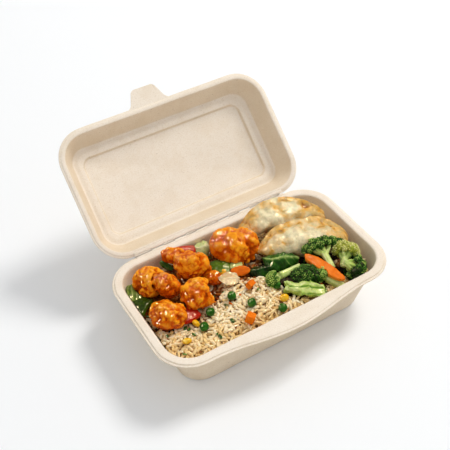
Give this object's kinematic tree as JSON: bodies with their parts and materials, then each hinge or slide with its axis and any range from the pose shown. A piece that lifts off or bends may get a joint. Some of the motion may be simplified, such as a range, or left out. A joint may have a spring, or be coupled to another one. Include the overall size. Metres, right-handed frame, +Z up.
{
  "type": "boxed rice meal",
  "caption": "Open hinged box of moulded fibre filled with fried rice, glazed chicken, dumplings, broccoli and mixed vegetables.",
  "frame": {"origin": "on the resting surface, under the middle of the tray's rim without its front flap", "axes": "+X along the tray's long side; +Y from the front flap to the lid's hinge; +Z up"},
  "size_m": [0.25, 0.2758, 0.1543],
  "materials": {
    "moulded_fibre": "matte",
    "fried_rice": "satin",
    "dough": "satin",
    "glazed_chicken": "gloss",
    "broccoli_green": "matte",
    "broccoli_stem": "satin",
    "leaf_green": "satin",
    "carrot": "satin",
    "red_pepper": "gloss",
    "green_pepper": "gloss",
    "pale_vegetable": "satin",
    "egg": "matte",
    "pea": "satin",
    "corn": "satin"
  },
  "bodies": {
    "tray": {"tray": "moulded_fibre", "rice": "fried_rice", "dumpling_1": "dough", "dumpling_2": "dough", "chicken_1": "glazed_chicken", "chicken_2": "glazed_chicken", "chicken_3": "glazed_chicken", "chicken_4": "glazed_chicken", "chicken_5": "glazed_chicken", "chicken_6": "glazed_chicken", "chicken_7": "glazed_chicken", "chicken_8": "glazed_chicken", "broccoli_1": "broccoli_green", "broccoli_2": "broccoli_green", "broccoli_3": "broccoli_green", "broccoli_4": "broccoli_green", "broccoli_5": "broccoli_green", "broccoli_6": "broccoli_green", "broccoli_stem": "broccoli_stem", "leaf_1": "leaf_green", "leaf_2": "leaf_green", "green_bean": "leaf_green", "carrot_slice_1": "carrot", "carrot_slice_2": "carrot", "red_pepper_1": "red_pepper", "red_pepper_2": "red_pepper", "green_pepper_1": "green_pepper", "green_pepper_2": "green_pepper", "green_pepper_3": "green_pepper", "pale_pepper": "pale_vegetable", "cabbage": "pale_vegetable", "scallion": "leaf_green", "egg_slice": "egg", "pea_1": "pea", "pea_2": "pea", "pea_3": "pea", "pea_4": "pea", "pea_5": "pea", "pea_6": "pea", "corn_1": "corn", "corn_2": "corn", "corn_3": "corn", "corn_4": "corn", "carrot_dice_1": "carrot", "carrot_dice_2": "carrot"},
    "lid": {"lid": "moulded_fibre"}
  },
  "joints": [
    {"name": "lid_hinge", "type": "hinge", "parent": "tray", "child": "lid", "pos_m": [0, 0.0725, 0.0555], "axis": [1, 0, 0], "range_deg": [-40, 140]}
  ]
}
